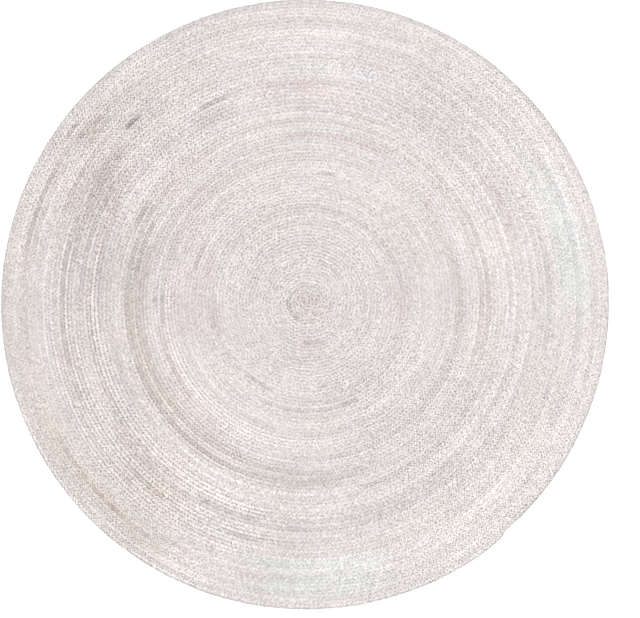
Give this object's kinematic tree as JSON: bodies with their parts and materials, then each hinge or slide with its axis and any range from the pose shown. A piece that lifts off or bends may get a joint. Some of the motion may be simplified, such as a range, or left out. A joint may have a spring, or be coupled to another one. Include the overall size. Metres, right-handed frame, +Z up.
{
  "type": "round braided jute rug",
  "caption": "Flat round rug of one pale jute braid, coiled edge to edge from the centre and sewn to itself.",
  "frame": {"origin": "middle of the rug's outline, on the floor under it", "axes": "+Z up, out of the rug's upper face; +X and +Y along the floor, as right and up in the picture"},
  "size_m": [2.438, 2.445, 0.009],
  "materials": {
    "bleached_jute": "matte, bleached jute fibre in a flat three-strand braid"
  },
  "bodies": {
    "root": {"braided_rug": "bleached_jute"}
  },
  "joints": []
}
